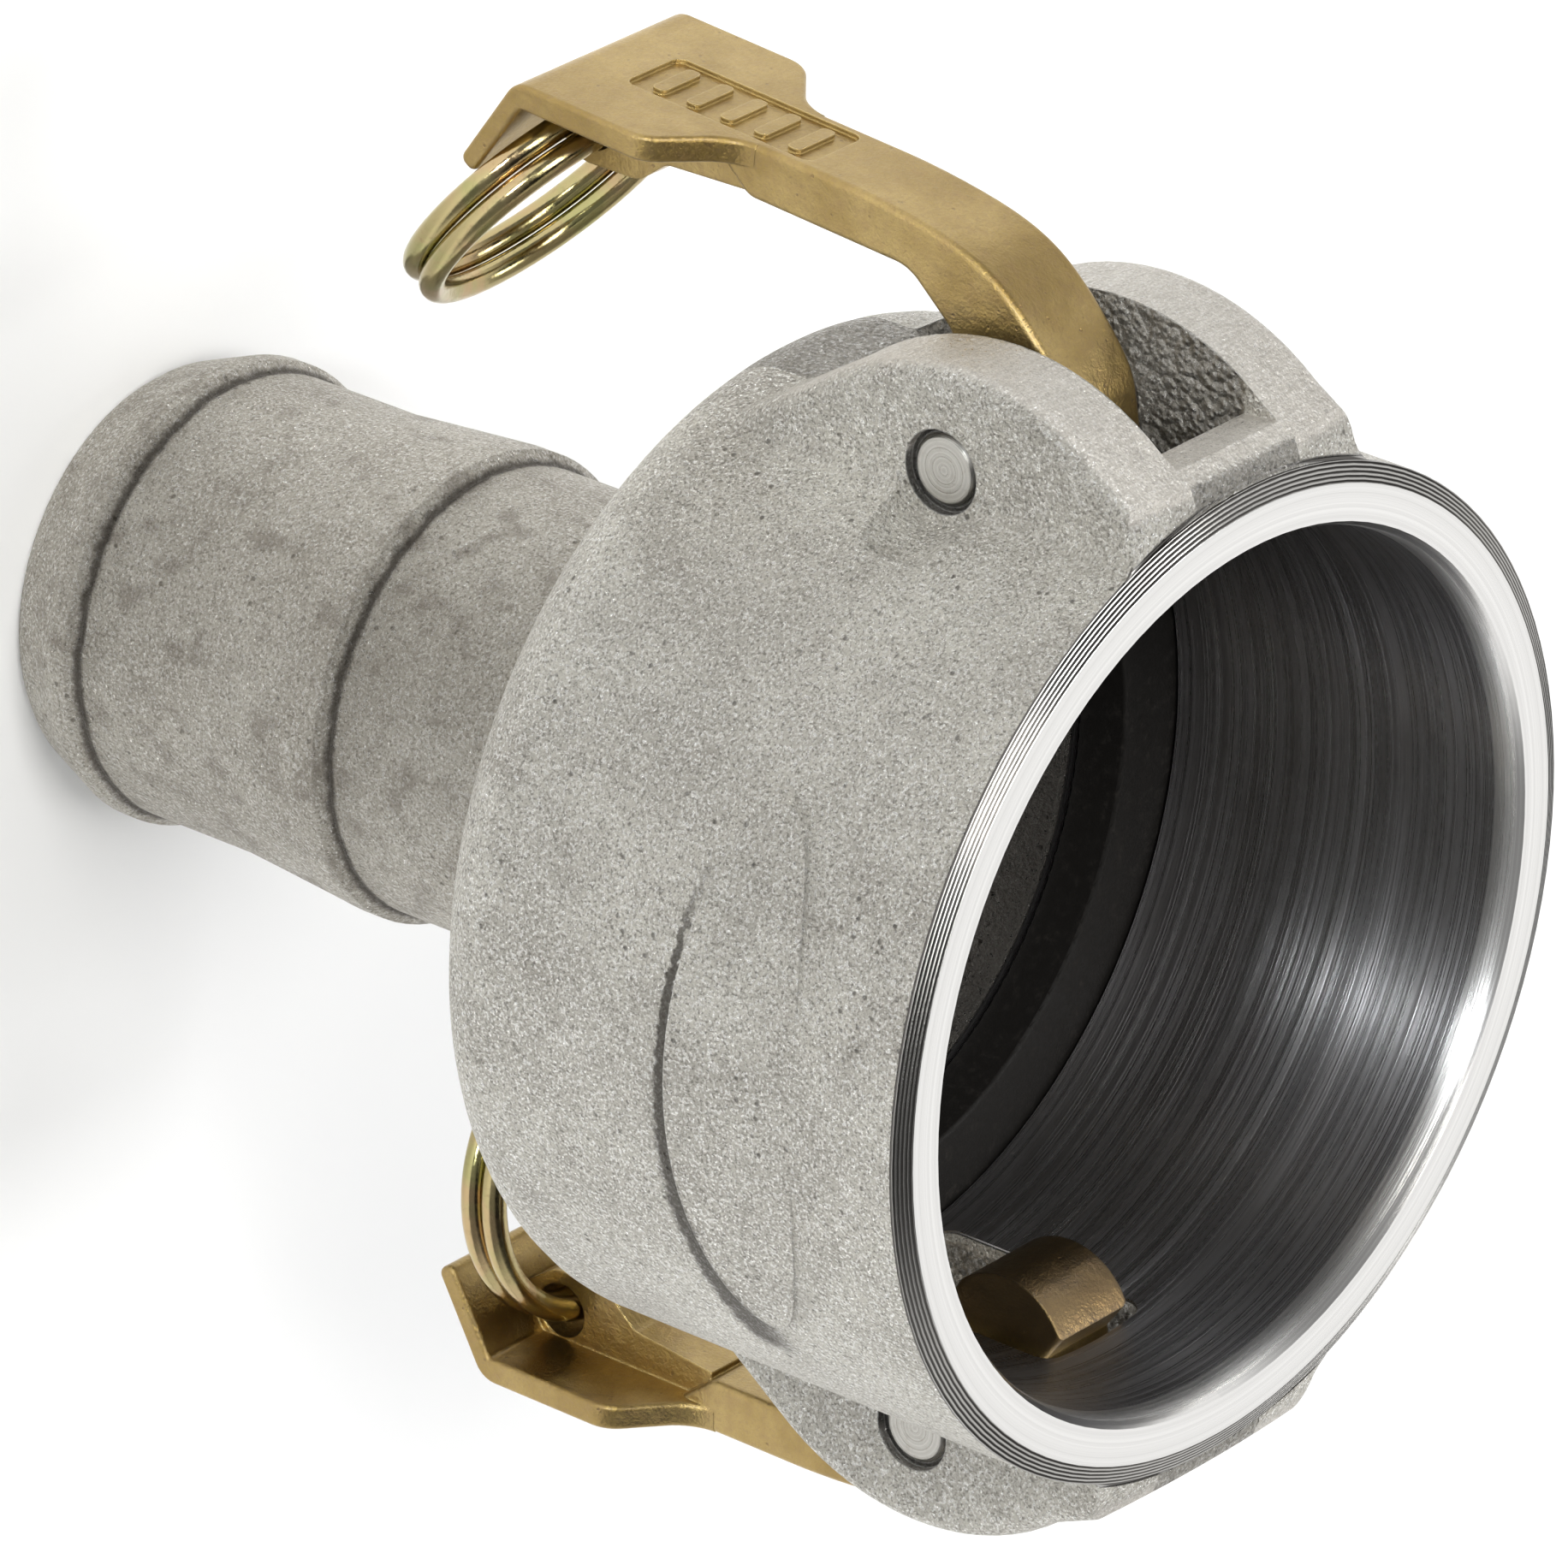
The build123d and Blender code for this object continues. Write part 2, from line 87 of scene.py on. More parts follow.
class Graph:
    """Short names for the shader nodes that the materials and the world are made of."""

    def __init__(self, owner):
        owner.use_nodes = True
        self.tree = owner.node_tree

    def node(self, kind, **settings):
        made = self.tree.nodes.new(kind)
        for key, value in settings.items():
            setattr(made, key, value)
        return made

    def feed(self, socket, value):
        """Puts a number, a colour or another node's output into a socket."""
        if isinstance(value, bpy.types.NodeSocket):
            self.tree.links.new(value, socket)
        else:
            socket.default_value = value

    def math(self, operation, a, b=0.0, c=0.0, clamp=False):
        made = self.node("ShaderNodeMath", operation=operation, use_clamp=clamp)
        for socket, value in zip(made.inputs, (a, b, c)):
            self.feed(socket, value)
        return made.outputs[0]

    def times(self, first, *others):
        """Product of numbers, such as masks that must all hold."""
        for other in others:
            first = self.math("MULTIPLY", first, other)
        return first

    def largest(self, first, *others):
        """Largest of numbers, such as masks of which one must hold."""
        for other in others:
            first = self.math("MAXIMUM", first, other)
        return first

    def inverse(self, mask):
        return self.math("SUBTRACT", 1.0, mask)

    def vector(self, operation, a, b=(0.0, 0.0, 0.0), scale=1.0):
        made = self.node("ShaderNodeVectorMath", operation=operation)
        self.feed(made.inputs[0], a)
        self.feed(made.inputs[1], b)
        made.inputs[3].default_value = scale
        result = "Value" if operation in ("LENGTH", "DOT_PRODUCT") else "Vector"
        return made.outputs[result]

    def combine(self, x, y, z):
        made = self.node("ShaderNodeCombineXYZ")
        for socket, value in zip(made.inputs, (x, y, z)):
            self.feed(socket, value)
        return made.outputs[0]

    def split(self, vector):
        made = self.node("ShaderNodeSeparateXYZ")
        self.feed(made.inputs[0], vector)
        return made.outputs[0], made.outputs[1], made.outputs[2]

    def length(self, x, y):
        return self.vector("LENGTH", self.combine(x, y, 0.0))

    def ramp(self, value, low, high):
        """0 below low, 1 above high, smooth between; low may be the larger."""
        made = self.node("ShaderNodeMapRange", interpolation_type="SMOOTHSTEP")
        self.feed(made.inputs["Value"], value)
        flip = low > high
        made.inputs["From Min"].default_value = min(low, high)
        made.inputs["From Max"].default_value = max(low, high)
        made.inputs["To Min"].default_value = 1.0 if flip else 0.0
        made.inputs["To Max"].default_value = 0.0 if flip else 1.0
        return made.outputs[0]

    def noise(self, vector, scale, detail=3.0, roughness=0.55, distortion=0.0):
        made = self.node("ShaderNodeTexNoise")
        self.feed(made.inputs["Vector"], vector)
        made.inputs["Scale"].default_value = scale
        made.inputs["Detail"].default_value = detail
        made.inputs["Roughness"].default_value = roughness
        made.inputs["Distortion"].default_value = distortion
        return made.outputs[0]

    def stretched_noise(self, vector, scales, **settings):
        """Noise with its own scale along each axis."""
        return self.noise(self.vector("MULTIPLY", vector, scales), 1.0, **settings)

    def moved_noise(self, vector, move, scale, **settings):
        """Noise from another place, so that it does not follow the first."""
        return self.noise(self.vector("ADD", vector, move), scale, **settings)

    def cells(self, vector, scale, feature="F1"):
        made = self.node("ShaderNodeTexVoronoi", feature=feature)
        self.feed(made.inputs["Vector"], vector)
        made.inputs["Scale"].default_value = scale
        return made.outputs["Distance"]

    def mix(self, factor, a, b):
        """Mixes two colours."""
        made = self.node("ShaderNodeMix", data_type="RGBA")
        self.feed(made.inputs[0], factor)
        for socket, value in ((made.inputs[6], a), (made.inputs[7], b)):
            self.feed(socket, value if isinstance(value, bpy.types.NodeSocket) else (*value, 1.0))
        return made.outputs[2]

    def stain(self, colour, mask, strength, tone):
        """Lays a second colour over the first where the mask holds."""
        return self.mix(self.times(mask, strength), colour, tone)

    def blend(self, factor, a, b):
        """Mixes two numbers."""
        made = self.node("ShaderNodeMix", data_type="FLOAT")
        self.feed(made.inputs[0], factor)
        self.feed(made.inputs[2], a)
        self.feed(made.inputs[3], b)
        return made.outputs[0]

    def bump(self, height, distance, normal=None):
        """Bump from a height of 0 to 1 that stands for this many millimetres."""
        made = self.node("ShaderNodeBump")
        made.inputs["Strength"].default_value = 1.0
        made.inputs["Distance"].default_value = distance * MM
        self.feed(made.inputs["Height"], height)
        if normal is not None:
            self.feed(made.inputs["Normal"], normal)
        return made.outputs[0]

    def place(self):
        """Position in millimetres in the part's frame."""
        coordinates = self.node("ShaderNodeTexCoord").outputs["Object"]
        return self.vector("SCALE", coordinates, scale=1.0 / MM)

    def true_normal(self):
        return self.node("ShaderNodeNewGeometry").outputs["Normal"]

    def edge_highlight_and_wear(self, radius):
        """1 on convex and concave edges, where the materials paint highlights and wear, 0 on open
        surface, and the rounded normal.
        """
        rounded = self.node("ShaderNodeBevel", samples=4)
        rounded.inputs["Radius"].default_value = radius * MM
        across = self.vector("DOT_PRODUCT", rounded.outputs[0], self.true_normal())
        return self.ramp(across, 0.95, 0.6), rounded.outputs[0]


class Finish(Graph):
    """A material and the graph behind its Principled shader."""

    def __init__(self, name):
        self.material = bpy.data.materials.new(name)
        super().__init__(self.material)
        self.shader = self.tree.nodes["Principled BSDF"]

    def set(self, **numbers):
        """Sets numbers or colours straight on the shader."""
        for name, value in numbers.items():
            self.shader.inputs[name.replace("_", " ")].default_value = value

    def done(self, colour, roughness, normal, metallic=1.0):
        self.feed(self.shader.inputs["Base Color"], colour)
        self.feed(self.shader.inputs["Roughness"], roughness)
        self.feed(self.shader.inputs["Normal"], normal)
        self.shader.inputs["Metallic"].default_value = metallic
        return self.material


# ---- cast and machined aluminium of the body -----------------------------------------------------

def machined_masks(g, radius, z):
    """Where the casting has been turned: bore and seat, mouth ring and chamfer, and its lines."""
    bore = g.times(
        g.ramp(radius, BORE_RADIUS + 0.4, BORE_RADIUS + 0.2),
        g.ramp(z, GROOVE_TOP_Z - 0.5, GROOVE_TOP_Z - 0.3),
    )
    groove = g.times(
        g.ramp(radius, SEAT_RADIUS - 0.2, SEAT_RADIUS + 0.2),
        g.ramp(radius, GROOVE_RADIUS + 0.3, GROOVE_RADIUS + 0.2),
        g.ramp(z, SEAT_FOOT_Z - 0.2, SEAT_FOOT_Z),
        g.ramp(z, GROOVE_TOP_Z + 0.2, GROOVE_TOP_Z),
    )
    ring = g.times(
        g.ramp(z, LIP_Z - 0.1, LIP_Z + 0.1),
        g.ramp(radius, FACE_RADIUS + 0.25, FACE_RADIUS + 0.15),
    )

    # on the chamfer's cone this level is the height of the mouth face
    level = g.math("MULTIPLY_ADD", g.math("SUBTRACT", radius, FACE_RADIUS), CHAMFER_SLOPE, z)
    chamfer = g.times(
        g.ramp(level, MOUTH_Z - 0.35, MOUTH_Z - 0.25),
        g.ramp(radius, FACE_RADIUS - 0.15, FACE_RADIUS - 0.05),
        g.ramp(radius, BELL_RADIUS + 0.6, BELL_RADIUS + 0.3),
    )

    # dark lines of the chamfer: the cut grooves, and finer ones beside them on the ears
    cut_lines = g.ramp(level, MOUTH_Z - 0.02, MOUTH_Z - 0.08)
    wave = g.math("SINE", g.times(radius, tau / CHAMFER_LINE_PITCH))
    on_ears = g.ramp(radius, BELL_RADIUS - 0.1, BELL_RADIUS + 0.1)
    ear_lines = g.times(g.ramp(wave, 0.3, 0.95), on_ears, 0.5)
    lines = g.times(g.largest(cut_lines, ear_lines), chamfer)
    return g.largest(bore, groove), g.largest(ring, chamfer), lines


def cast_skin(g, place, light_grain, pits):
    """Colour of bare sand-cast skin: blotches, stains, grain and pits."""
    blotch = g.noise(place, 0.06, detail=5.0, roughness=0.65)
    skin = g.mix(g.ramp(blotch, 0.32, 0.68), (0.47, 0.45, 0.405), (0.61, 0.59, 0.535))
    stains = g.ramp(g.noise(place, 0.16, detail=6.0, roughness=0.7), 0.52, 0.72)
    skin = g.stain(skin, stains, 0.45, (0.30, 0.275, 0.24))
    mottle = g.ramp(g.noise(place, 0.8, detail=4.0, roughness=0.65), 0.50, 0.68)
    skin = g.stain(skin, mottle, 0.3, (0.30, 0.285, 0.25))
    dark_grain = g.ramp(g.noise(place, 3.1, detail=3.0, roughness=0.7), 0.53, 0.33)
    skin = g.stain(skin, dark_grain, 0.8, (0.17, 0.16, 0.14))
    skin = g.stain(skin, light_grain, 0.75, (0.93, 0.92, 0.89))
    return g.stain(skin, pits, 0.7, (0.10, 0.092, 0.08))


def shank_shade_and_dirt(g, skin, place, radius, z):
    """The shank is duller and warmer than the bell, a painted shade under the bell, with dirt at the
    foot of each barb.
    """
    on_shank = g.ramp(z, BELL_BACK_Z - 2.0, SHANK_Z)
    # painted shade of the bell over the shank, in a warmer tone
    skin = g.stain(skin, on_shank, 0.28, (0.29, 0.25, 0.19))
    smudge = g.ramp(g.moved_noise(place, (17.0, 0.0, 9.0), 0.22, detail=6.0), 0.52, 0.68)
    skin = g.stain(skin, g.times(smudge, on_shank), 0.45, (0.20, 0.175, 0.145))
    ragged = g.noise(place, 0.3, detail=5.0, roughness=0.7)
    waver = g.times(g.math("SUBTRACT", ragged, 0.5), 1.3)
    for foot in BARB_FEET_Z:
        offset = g.math("ADD", g.math("SUBTRACT", z, foot), waver)
        line = g.times(
            g.ramp(g.math("ABSOLUTE", offset), 0.8, 0.1),
            g.ramp(radius, NECK_RADIUS + 1.4, NECK_RADIUS + 0.9),
            g.ramp(radius, NECK_RADIUS - 1.2, NECK_RADIUS - 0.6),
        )
        skin = g.stain(skin, line, 0.85, (0.07, 0.06, 0.05))
    return skin


def pad_shadow(g, skin, place):
    """Painted shadow along the shank side of the blank pad's step, wider towards +X."""
    x, y, z = g.split(place)
    across = g.math("DIVIDE", x, PAD_HALF_LENGTH)
    along = g.math("DIVIDE", g.math("SUBTRACT", z, PAD_Z), PAD_HALF_WIDTH)
    ragged = g.noise(place, 1.1, detail=4.0)
    waver = g.times(g.math("SUBTRACT", ragged, 0.5), 0.22)
    oval = g.math("ADD", g.length(across, along), waver)
    beside = g.math("ABSOLUTE", g.math("SUBTRACT", oval, 1.19))
    width = g.blend(g.ramp(x, -18.0, 20.0), 0.06, 0.27)
    band = g.math("SUBTRACT", 1.0, g.math("DIVIDE", beside, width), clamp=True)
    band = g.times(
        g.ramp(band, 0.0, 0.55),
        g.ramp(along, 0.15, -0.45),
        g.ramp(y, PAD_Y + 1.0, PAD_Y - 1.0),
        g.ramp(x, -25.0, -10.0),
    )
    # painted shadow below the pad's step on the shank side
    return g.stain(skin, band, 0.85, (0.07, 0.062, 0.052))


def slot_wall_mask(g, side_x, side_y, z):
    """Walls inside the lever slots, without the outer face of the web."""
    walls = g.times(
        g.ramp(side_y, SLOT_HALF + 0.25, SLOT_HALF + 0.1),
        g.ramp(side_x, BORE_RADIUS + 0.5, BORE_RADIUS + 1.3),
        g.ramp(z, BELL_BACK_Z - 5.5, BELL_BACK_Z + 1.5),
    )
    web_face = g.times(g.ramp(z, WEB_Z - 0.8, WEB_Z + 0.2), g.ramp(side_x, WEB_X - 1.0, WEB_X - 0.2))
    return g.times(walls, g.inverse(web_face))


def crown_mask(g, side_x, slot_wall):
    """Crowns of the ears, outside the bell and not on the ears' flat sides."""
    facing = g.math("ABSOLUTE", g.split(g.true_normal())[1])
    outside_bell = g.ramp(side_x, BELL_RADIUS + 0.4, BELL_RADIUS + 1.6)
    return g.times(g.ramp(facing, 0.75, 0.35), outside_bell, g.inverse(slot_wall))


def funnel_mask(g, radius, z):
    """Everything cored between the gasket's seat and the hose end."""
    hose_wall = g.ramp(radius, HOSE_BORE_RADIUS + 0.8, HOSE_BORE_RADIUS + 0.4)
    from_cone = g.math("MULTIPLY_ADD", z, -FUNNEL_SLOPE, g.math("SUBTRACT", radius, FUNNEL_TIP))
    cone = g.times(g.ramp(from_cone, 2.0, 1.4), g.ramp(z, BELL_BACK_Z + 5.5, BELL_BACK_Z + 4.5))
    above_back = g.times(
        g.ramp(z, BELL_BACK_Z + 2.5, BELL_BACK_Z + 3.5),
        g.ramp(radius, SEAT_RADIUS + 0.2, SEAT_RADIUS - 0.2),
    )
    return g.largest(hose_wall, cone, above_back)


def turned_colour(g, place, radius, turning, outside, lines):
    """Colour of turned metal: bright mouth ring and chamfer, duller bore."""
    rings = g.ramp(turning, 0.3, 0.7)
    bright = g.mix(rings, (0.76, 0.75, 0.73), (0.90, 0.89, 0.87))
    nicks = g.stretched_noise(place, (0.9, 0.9, 0.4), detail=5.0, roughness=0.8)
    bright = g.mix(g.ramp(nicks, 0.70, 0.76), bright, (0.30, 0.28, 0.26))
    on_chamfer = g.ramp(radius, FACE_RADIUS - 0.05, FACE_RADIUS + 0.1)
    bright = g.stain(bright, on_chamfer, 0.8, (0.36, 0.35, 0.33))
    bright = g.stain(bright, lines, 0.88, (0.06, 0.055, 0.05))
    bore = g.mix(rings, (0.42, 0.41, 0.415), (0.56, 0.555, 0.56))
    smear = g.stretched_noise(place, (0.08, 0.08, 0.5), detail=3.0)
    bore = g.stain(bore, g.ramp(smear, 0.45, 0.7), 0.5, (0.36, 0.345, 0.34))
    return g.mix(outside, bore, bright)


def body_normal(g, place, z, masks, pits, turning, rounded):
    """Cast bumps, pebbly slot walls and turned rings, and the bore's feed marks."""
    inside, outside, slot_wall, crown = masks
    machined = g.largest(inside, outside)
    swell = g.noise(place, 0.32, detail=3.0, roughness=0.5)
    grain = g.noise(place, 1.9, detail=4.0, roughness=0.7)
    cast = g.math("MULTIPLY_ADD", swell, 1.6, grain)
    cast = g.math("MULTIPLY_ADD", pits, -0.9, cast)
    pebbles = g.cells(place, 1.25, feature="SMOOTH_F1")
    cast = g.math("MULTIPLY_ADD", g.times(slot_wall, pebbles), -2.4, cast)
    calmer_crowns = g.math("MULTIPLY_ADD", crown, -0.55, 1.0)
    cast = g.times(cast, calmer_crowns, g.inverse(machined))
    turned = g.times(turning, outside, 0.008)
    start = g.mix(machined, rounded, g.true_normal())
    bumpy = g.bump(g.math("ADD", cast, turned), BUMP_DEPTH, normal=start)

    # the feed marks draw the bore's highlight out along the axis, as turned metal does
    feed_marks = g.noise(g.combine(0.0, 0.0, z), FEED_MARK_SCALE, detail=0.0)
    tilt = g.times(g.math("SUBTRACT", feed_marks, 0.5), FEED_MARK_TILT, inside)
    return g.vector("NORMALIZE", g.vector("ADD", bumpy, g.combine(0.0, 0.0, tilt)))


def cast_body():
    """Sand-cast aluminium with ground crowns, machined mouth and bore, painted shade in its recesses
    and dirt at the barbs' feet.
    """
    g = Finish("cast_aluminium")
    place = g.place()
    x, y, z = g.split(place)
    radius = g.length(x, y)
    side_x = g.math("ABSOLUTE", x)
    side_y = g.math("ABSOLUTE", y)
    inside, outside, lines = machined_masks(g, radius, z)
    machined = g.largest(inside, outside)
    slot_wall = slot_wall_mask(g, side_x, side_y, z)
    crown = crown_mask(g, side_x, slot_wall)
    edges, rounded = g.edge_highlight_and_wear(0.35)

    light_grain = g.ramp(g.moved_noise(place, (31.0, 7.0, 5.0), 2.9, detail=2.0), 0.5, 0.66)
    pit_field = g.cells(g.vector("ADD", place, (3.0, 11.0, 0.0)), 0.6)
    pit_patch = g.ramp(g.noise(place, 0.11, detail=2.0), 0.5, 0.62)
    pits = g.times(g.ramp(pit_field, 0.2, 0.08), pit_patch)
    skin = cast_skin(g, place, light_grain, pits)
    skin = shank_shade_and_dirt(g, skin, place, radius, z)
    skin = pad_shadow(g, skin, place)

    # painted shade in the gap round each pin end
    from_pin = g.length(g.math("SUBTRACT", side_x, PIN_X), g.math("SUBTRACT", z, PIN_Z))
    pin_gap_shade = g.ramp(from_pin, RECESS_RADIUS + 0.15, RECESS_RADIUS - 0.05)
    skin = g.stain(skin, pin_gap_shade, 0.9, (0.03, 0.027, 0.024))

    # rough slot walls darkened with painted shade, crowns ground smooth with fine lines across them,
    # painted shade in the funnel
    # painted shade on the walls inside the lever slots
    skin = g.stain(skin, slot_wall, 0.5, (0.15, 0.14, 0.125))
    ground = g.stretched_noise(place, (3.2, 0.35, 3.2), detail=4.0, roughness=0.7)
    worn = g.mix(g.ramp(ground, 0.35, 0.65), (0.47, 0.44, 0.40), (0.62, 0.59, 0.55))
    skin = g.stain(skin, crown, 0.6, worn)
    # painted shade inside the funnel and the hose bore
    skin = g.stain(skin, funnel_mask(g, radius, z), 0.85, (0.085, 0.078, 0.07))

    turning_place = g.combine(g.times(radius, 5.0), g.times(z, 5.0), 0.0)
    turning = g.noise(turning_place, 1.0, detail=4.0, roughness=0.75)
    turned = turned_colour(g, place, radius, turning, outside, lines)
    colour = g.mix(machined, skin, turned)
    edge_glint = g.times(edges, g.inverse(machined))
    colour = g.stain(colour, edge_glint, 0.5, (0.80, 0.79, 0.76))

    skin_roughness = g.blend(light_grain, 0.55, 0.26)
    turned_roughness = g.blend(g.ramp(turning, 0.3, 0.7), 0.17, 0.25)
    turned_roughness = g.math("MULTIPLY_ADD", inside, 0.08, turned_roughness)
    roughness = g.blend(machined, skin_roughness, turned_roughness)
    masks = (inside, outside, slot_wall, crown)
    normal = body_normal(g, place, z, masks, pits, turning, rounded)
    return g.done(colour, roughness, normal)


# ---- the other materials -------------------------------------------------------------------------

def forged_brass():
    """Tumbled brass: satin golden brown, mottled, with a painted highlight along its edges that also
    stands for rubbed wear, and painted shade on the lobe inside the bore.
    """
    g = Finish("lever_brass")
    place = g.place()
    x, y, z = g.split(place)
    edges, rounded = g.edge_highlight_and_wear(0.45)
    patina = g.noise(place, 0.10, detail=5.0, roughness=0.6)
    colour = g.mix(g.ramp(patina, 0.32, 0.68), (0.30, 0.20, 0.052), (0.42, 0.30, 0.105))
    mottle = g.ramp(g.noise(place, 0.7, detail=5.0, roughness=0.75), 0.47, 0.70)
    colour = g.stain(colour, mottle, 0.5, (0.30, 0.19, 0.075))
    fleck = g.ramp(g.noise(place, 2.8, detail=3.0, roughness=0.7), 0.52, 0.34)
    colour = g.stain(colour, fleck, 0.4, (0.27, 0.17, 0.08))
    spots = g.ramp(g.cells(place, 0.5), 0.12, 0.05)
    colour = g.stain(colour, spots, 0.45, (0.16, 0.09, 0.04))
    # painted highlight along the lever's edges, partly their rubbed wear
    colour = g.stain(colour, edges, 0.75, (0.82, 0.63, 0.27))
    # painted shade on the lobe where it reaches into the bore
    in_bore = g.ramp(g.length(x, y), BORE_RADIUS + 1.4, BORE_RADIUS - 0.6)
    lobe = g.times(in_bore, g.ramp(z, GROOVE_TOP_Z - 2.7, GROOVE_TOP_Z - 0.7))
    colour = g.stain(colour, lobe, 0.6, (0.13, 0.075, 0.04))

    tumbled = g.noise(place, 2.6, detail=3.0, roughness=0.6)
    waves = g.noise(place, 0.22, detail=2.0)
    roughness = g.blend(g.ramp(tumbled, 0.35, 0.7), 0.30, 0.44)
    roughness = g.blend(edges, roughness, 0.22)
    height = g.math("MULTIPLY_ADD", waves, 2.0, g.times(tumbled, 0.5))
    height = g.math("MULTIPLY_ADD", spots, -0.25, height)
    g.set(Coat_Weight=0.75, Coat_Roughness=0.35, Specular_Tint=(0.95, 0.85, 0.65, 1.0))
    return g.done(colour, roughness, g.bump(height, 0.2, normal=rounded))


def plated_wire():
    """Yellow zinc plating with its faint green and pink bloom."""
    g = Finish("ring_plated")
    place = g.place()
    bloom = g.noise(place, 0.16, detail=3.0, distortion=0.6)
    colour = g.mix(g.ramp(bloom, 0.35, 0.5), (0.50, 0.37, 0.20), (0.46, 0.38, 0.19))
    colour = g.stain(colour, g.ramp(bloom, 0.52, 0.66), 0.45, (0.34, 0.37, 0.14))
    drawn = g.noise(place, 1.3, detail=4.0, roughness=0.7)
    colour = g.stain(colour, g.ramp(drawn, 0.55, 0.75), 0.4, (0.30, 0.20, 0.10))
    roughness = g.blend(g.ramp(drawn, 0.35, 0.7), 0.12, 0.26)
    return g.done(colour, roughness, g.bump(drawn, 0.02))


def turned_pin():
    """Stainless pin with the lathe's rings on its ends and grime over them."""
    g = Finish("pin_steel")
    place = g.place()
    x, y, z = g.split(place)
    across = g.math("SUBTRACT", g.math("ABSOLUTE", x), PIN_X)
    from_axis = g.length(across, g.math("SUBTRACT", z, PIN_Z))
    rings = g.noise(g.combine(g.times(from_axis, 4.5), 0.0, 0.0), 1.0, detail=3.0)
    edges, rounded = g.edge_highlight_and_wear(0.3)
    grime = g.ramp(g.noise(place, 0.9, detail=4.0, roughness=0.7), 0.5, 0.75)
    colour = g.mix(g.ramp(rings, 0.35, 0.65), (0.34, 0.33, 0.30), (0.50, 0.485, 0.455))
    colour = g.stain(colour, grime, 0.4, (0.25, 0.22, 0.18))
    # painted highlight along the pin's edges
    colour = g.stain(colour, edges, 0.5, (0.72, 0.71, 0.68))
    roughness = g.blend(g.ramp(rings, 0.3, 0.7), 0.24, 0.36)
    height = g.math("MULTIPLY_ADD", rings, 0.8, g.times(grime, 0.3))
    return g.done(colour, roughness, g.bump(height, 0.05, normal=rounded))


def black_rubber():
    """Moulded rubber with a dusty bloom."""
    g = Finish("gasket_rubber")
    place = g.place()
    dust = g.noise(place, 0.8, detail=5.0, roughness=0.7)
    colour = g.mix(g.ramp(dust, 0.5, 0.8), (0.010, 0.009, 0.008), (0.028, 0.025, 0.022))
    skin = g.noise(place, 3.0, detail=3.0)
    roughness = g.blend(g.ramp(dust, 0.4, 0.7), 0.62, 0.80)
    g.set(Specular_IOR_Level=0.25)
    return g.done(colour, roughness, g.bump(skin, 0.03), metallic=0.0)


def pale_floor():
    """Matt white studio sheet."""
    g = Finish("floor")
    fibre = g.noise(g.place(), 0.02, detail=3.0)
    colour = g.mix(fibre, (0.93, 0.93, 0.93), (0.96, 0.96, 0.96))
    return g.done(colour, 0.8, g.bump(fibre, 0.02), metallic=0.0)


finishes = {
    "body": cast_body(),
    "gasket": black_rubber(),
    "pivot_pin_left": turned_pin(),
    "pivot_pin_right": turned_pin(),
    "cam_arm_left": forged_brass(),
    "cam_arm_right": forged_brass(),
    "finger_ring_left": plated_wire(),
    "finger_ring_right": plated_wire(),
}
for name, finish in finishes.items():
    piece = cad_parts[name]
    piece.data.materials.clear()
    piece.data.materials.append(finish)


# ---- studio --------------------------------------------------------------------------------------

FLOOR_RADIUS = 6.0           # metres
FLOOR_SIDES = 64
KEY_SIZE = 1.1
FRONT_SIZE = 0.28            # small, so that it draws a narrow fan in the bore
BRIGHT_SIDE = (0.53, 0.85, 0.0)  # level direction of the bright wall, beyond the part
WALL_EDGE = 0.35             # how far to each side of square its edge fades
DIM_STRENGTH = 0.25          # of the wall behind the camera
CEILING = (0.60, 0.82)       # upward share of a direction where the wall turns into the ceiling
CEILING_STRENGTH = 0.06


def studio_floor():
    """Large flat round sheet that the coupling stands on."""
    vertices = []
    for index in range(FLOOR_SIDES):
        turn = Matrix.Rotation(tau * index / FLOOR_SIDES, 3, "Z")
        vertices.append(turn @ Vector((FLOOR_RADIUS, 0.0, 0.0)))
    mesh = bpy.data.meshes.new("floor")
    mesh.from_pydata(vertices, [], [list(range(FLOOR_SIDES))])
    floor = bpy.data.objects.new("floor", mesh)
    bpy.context.scene.collection.objects.link(floor)
    mesh.materials.append(pale_floor())


def soft_light(name, position, size, power, tint=(1.0, 1.0, 1.0)):
    """Square softbox aimed at the middle of the part."""
    target = (Vector(cad_box[0]) + Vector(cad_box[1])) / 2
    data = bpy.data.lights.new(name, "AREA")
    data.shape = "SQUARE"
    data.size = size
    data.energy = power
    data.color = tint
    light = bpy.data.objects.new(name, data)
    light.location = position
    light.rotation_euler = (target - Vector(position)).to_track_quat("-Z", "Y").to_euler()
    bpy.context.scene.collection.objects.link(light)


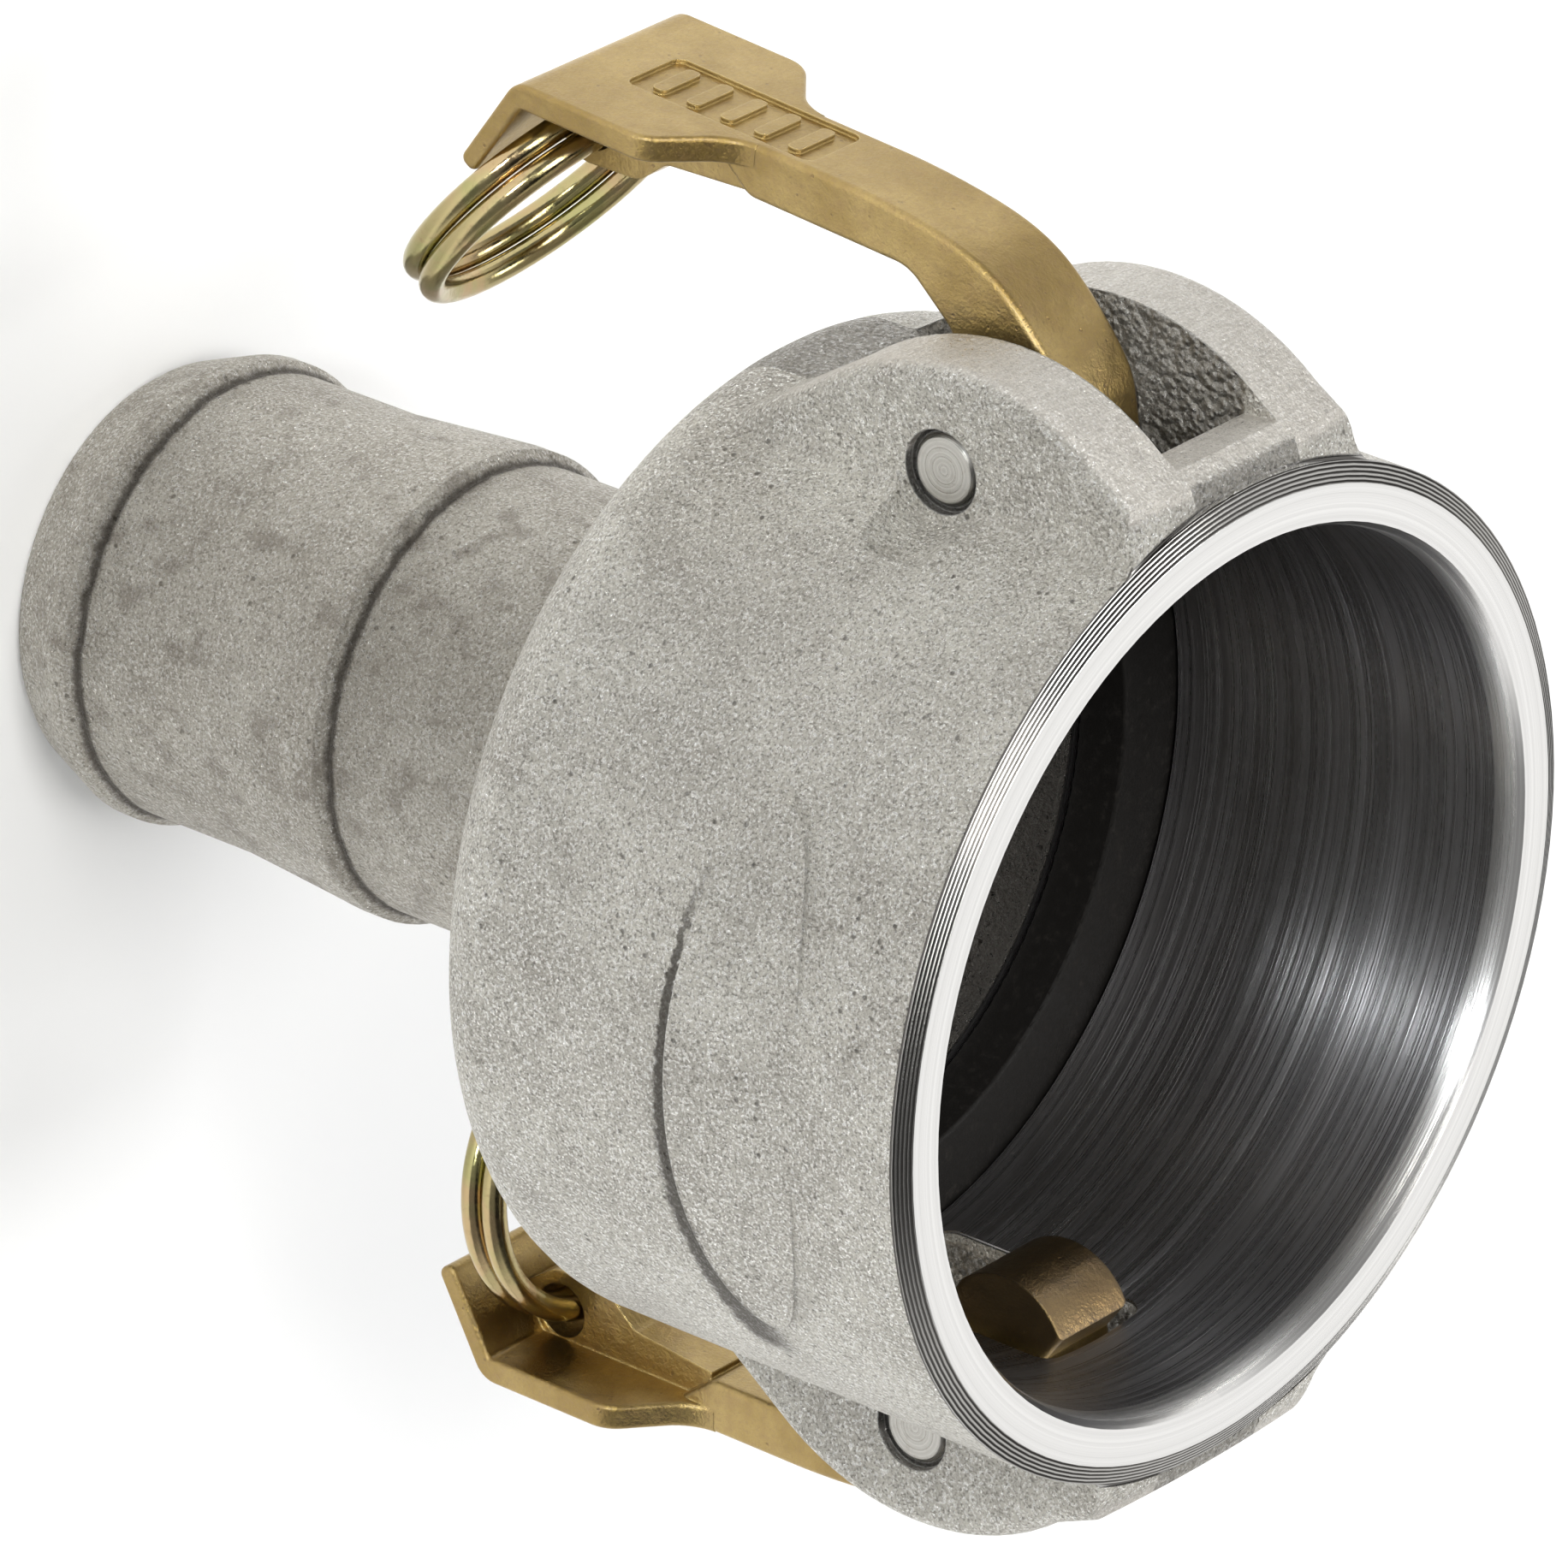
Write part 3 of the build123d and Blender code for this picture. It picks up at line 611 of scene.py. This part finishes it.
def studio_world():
    """Bright wall beyond the part, dim behind the camera and dark above, so the bore falls dark."""
    world = bpy.data.worlds.new("studio")
    g = Graph(world)
    direction = g.node("ShaderNodeTexCoord").outputs["Generated"]
    up = g.split(direction)[2]
    beyond = g.vector("DOT_PRODUCT", direction, BRIGHT_SIDE)
    below_ceiling = g.blend(g.ramp(up, *CEILING), 1.0, CEILING_STRENGTH)
    wall = g.blend(g.ramp(beyond, -WALL_EDGE, WALL_EDGE), DIM_STRENGTH, 1.0)
    background = g.tree.nodes["Background"]
    background.inputs["Color"].default_value = (1.0, 1.0, 1.0, 1.0)
    g.feed(background.inputs["Strength"], g.times(below_ceiling, wall))
    bpy.context.scene.world = world


studio_floor()
soft_light("front", (-0.85, -1.73, 0.6), FRONT_SIZE, 18.0, tint=(0.93, 0.97, 1.0))
soft_light("key", (-1.15, -0.85, 1.8), KEY_SIZE, 32.0, tint=(1.0, 0.99, 0.965))
soft_light("back", (0.0, 0.8, 2.0), KEY_SIZE, 26.0)
studio_world()
bpy.context.scene.view_settings.view_transform = "Standard"


# ---- camera --------------------------------------------------------------------------------------

# metres, and the directions in the part's frame of the picture's right, down and depth;
# the coupling lies on its side in the picture, so its +X runs down the picture
CAMERA_AT = (-0.62853, -1.01081, 0.90153)
CAMERA_RIGHT = (-0.022855, 0.637090, 0.770450)
CAMERA_DOWN = (0.900938, -0.320920, 0.292097)
CAMERA_FORWARD = (0.433345, 0.700804, -0.566644)
SENSOR = 36.0
LENS = 328.3

camera_data = bpy.data.cameras.new("camera")
camera_data.sensor_fit = "HORIZONTAL"
camera_data.sensor_width = SENSOR
camera_data.lens = LENS
camera = bpy.data.objects.new("camera", camera_data)
axes = Matrix((CAMERA_RIGHT, CAMERA_DOWN, CAMERA_FORWARD)).transposed()
axes = axes @ Matrix.Diagonal((1.0, -1.0, -1.0))
camera.matrix_world = Matrix.Translation(CAMERA_AT) @ axes.to_4x4()
bpy.context.scene.collection.objects.link(camera)
bpy.context.scene.camera = camera
